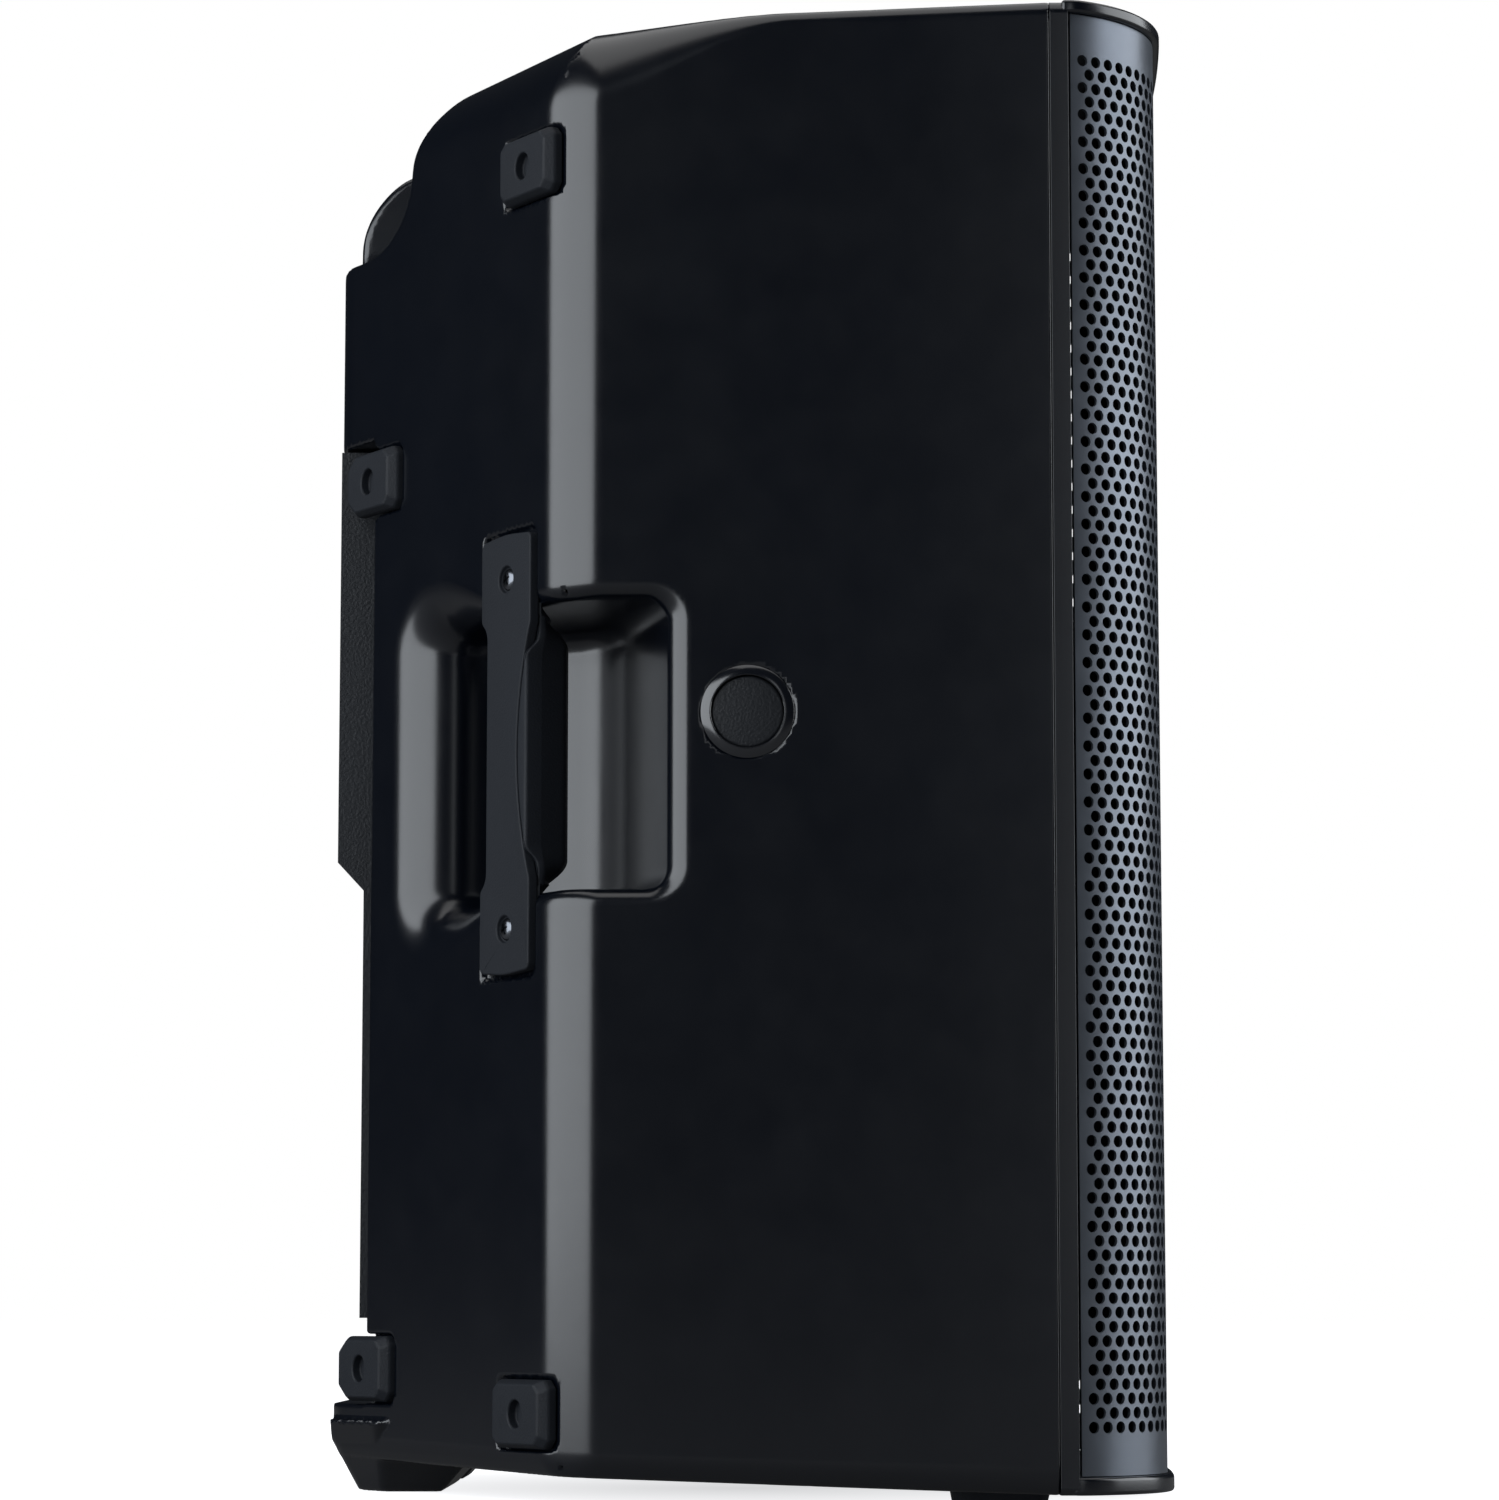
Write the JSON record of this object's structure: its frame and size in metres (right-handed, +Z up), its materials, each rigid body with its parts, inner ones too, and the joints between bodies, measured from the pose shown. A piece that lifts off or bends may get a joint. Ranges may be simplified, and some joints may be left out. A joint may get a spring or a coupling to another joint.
{
  "type": "pa speaker cabinet",
  "caption": "Upright moulded powered loudspeaker cabinet with a bowed perforated grille, a slanting monitor face with rubber bumpers, and strap handles over hand pockets.",
  "frame": {"origin": "on the floor under the middle of the cabinet's box", "axes": "+Z up, -Y out of the grille, the slanting face with the side handle at -X"},
  "size_m": [0.356, 0.3525, 0.602],
  "materials": {
    "moulded_black": "moulded ABS, fine satin texture",
    "rubber": "matt charcoal",
    "grille_paint": "satin powder coat",
    "bright_steel": "zinc plated",
    "black_steel": "satin black",
    "foam": "open-cell foam",
    "paper": "treated paper pulp",
    "magnet": "blackened",
    "aluminium": "satin",
    "board": "solder mask",
    "glass": "clear polycarbonate over a dark display"
  },
  "bodies": {
    "cabinet": {"amp_board": "board", "amp_chassis": "moulded_black", "amp_heatsink": "aluminium", "bumper_lower_front": "rubber", "bumper_lower_rear": "rubber", "bumper_upper_front": "rubber", "bumper_upper_rear": "rubber", "display_lens": "glass", "fan_frame": "moulded_black", "foot_front_left": "rubber", "foot_front_right": "rubber", "front_baffle": "moulded_black", "grille": "grille_paint", "grille_foam": "foam", "horn_driver_cap": "black_steel", "horn_driver_magnet": "magnet", "horn_waveguide": "moulded_black", "input_jack_a": "black_steel", "input_jack_b": "black_steel", "mount_cap": "rubber", "mount_insert": "bright_steel", "mount_ring": "moulded_black", "output_socket": "black_steel", "pole_cup": "moulded_black", "port_tube_left": "moulded_black", "port_tube_right": "moulded_black", "power_inlet": "moulded_black", "power_supply": "board", "power_switch_frame": "moulded_black", "rear_shell": "moulded_black", "side_handle_grip": "rubber", "side_handle_screw_first": "bright_steel", "side_handle_screw_second": "bright_steel", "side_handle_strap": "rubber", "top_handle_grip": "rubber", "top_handle_screw_first": "bright_steel", "top_handle_screw_second": "bright_steel", "top_handle_strap": "rubber", "woofer_basket": "black_steel", "woofer_magnet": "magnet", "woofer_pole_piece": "magnet", "woofer_spider": "paper", "woofer_surround": "rubber", "woofer_top_plate": "magnet"},
    "woofer_moving": {"woofer_cone": "paper", "woofer_dust_cap": "paper", "voice_coil": "aluminium"},
    "hf_moving": {"hf_diaphragm": "aluminium"},
    "gain_a": {"gain_knob_a": "rubber"},
    "gain_b": {"gain_knob_b": "rubber"},
    "gain_c": {"gain_knob_c": "rubber"},
    "encoder": {"menu_encoder_shaft": "aluminium"},
    "encoder_cap": {"menu_knob": "rubber"},
    "left_button": {"menu_button_left": "rubber"},
    "right_button": {"menu_button_right": "rubber"},
    "latch_a": {"jack_latch_a": "bright_steel"},
    "latch_b": {"jack_latch_b": "bright_steel"},
    "rocker": {"power_rocker": "black_steel"},
    "fan": {"fan_rotor": "moulded_black"}
  },
  "joints": [
    {"name": "cone_travel", "type": "slide", "parent": "cabinet", "child": "woofer_moving", "axis": [0, -1, 0], "range_m": [-0.006, 0.006], "stiffness_N_per_m": 6000},
    {"name": "diaphragm_travel", "type": "slide", "parent": "cabinet", "child": "hf_moving", "axis": [0, -1, 0], "range_m": [-0.0003, 0.0003], "stiffness_N_per_m": 40000},
    {"name": "gain_a_turn", "type": "hinge", "parent": "cabinet", "child": "gain_a", "pos_m": [0.01, 0.163, 0.352], "axis": [0, -1, 0], "range_deg": [-145, 145]},
    {"name": "gain_b_turn", "type": "hinge", "parent": "cabinet", "child": "gain_b", "pos_m": [0.055, 0.163, 0.352], "axis": [0, -1, 0], "range_deg": [-145, 145]},
    {"name": "gain_c_turn", "type": "hinge", "parent": "cabinet", "child": "gain_c", "pos_m": [0.1, 0.163, 0.352], "axis": [0, -1, 0], "range_deg": [-145, 145]},
    {"name": "encoder_push", "type": "slide", "parent": "cabinet", "child": "encoder", "axis": [0, -1, 0], "range_m": [0, 0.0006], "stiffness_N_per_m": 1500},
    {"name": "encoder_turn", "type": "hinge", "parent": "encoder", "child": "encoder_cap", "pos_m": [0.118, 0.163, 0.405], "axis": [0, -1, 0], "continuous": true},
    {"name": "left_button_push", "type": "slide", "parent": "cabinet", "child": "left_button", "axis": [0, -1, 0], "range_m": [0, 0.0008], "stiffness_N_per_m": 1000},
    {"name": "right_button_push", "type": "slide", "parent": "cabinet", "child": "right_button", "axis": [0, -1, 0], "range_m": [0, 0.0008], "stiffness_N_per_m": 1000},
    {"name": "latch_a_push", "type": "slide", "parent": "cabinet", "child": "latch_a", "axis": [0, -1, 0], "range_m": [0, 0.0015], "stiffness_N_per_m": 800},
    {"name": "latch_b_push", "type": "slide", "parent": "cabinet", "child": "latch_b", "axis": [0, -1, 0], "range_m": [0, 0.0015], "stiffness_N_per_m": 800},
    {"name": "power_rock", "type": "hinge", "parent": "cabinet", "child": "rocker", "pos_m": [0.11, 0.16, 0.16], "axis": [0, 0, 1], "range_deg": [0, 11]},
    {"name": "fan_spin", "type": "hinge", "parent": "cabinet", "child": "fan", "pos_m": [0.028, 0.1475, 0.146], "axis": [0, 1, 0], "continuous": true}
  ]
}
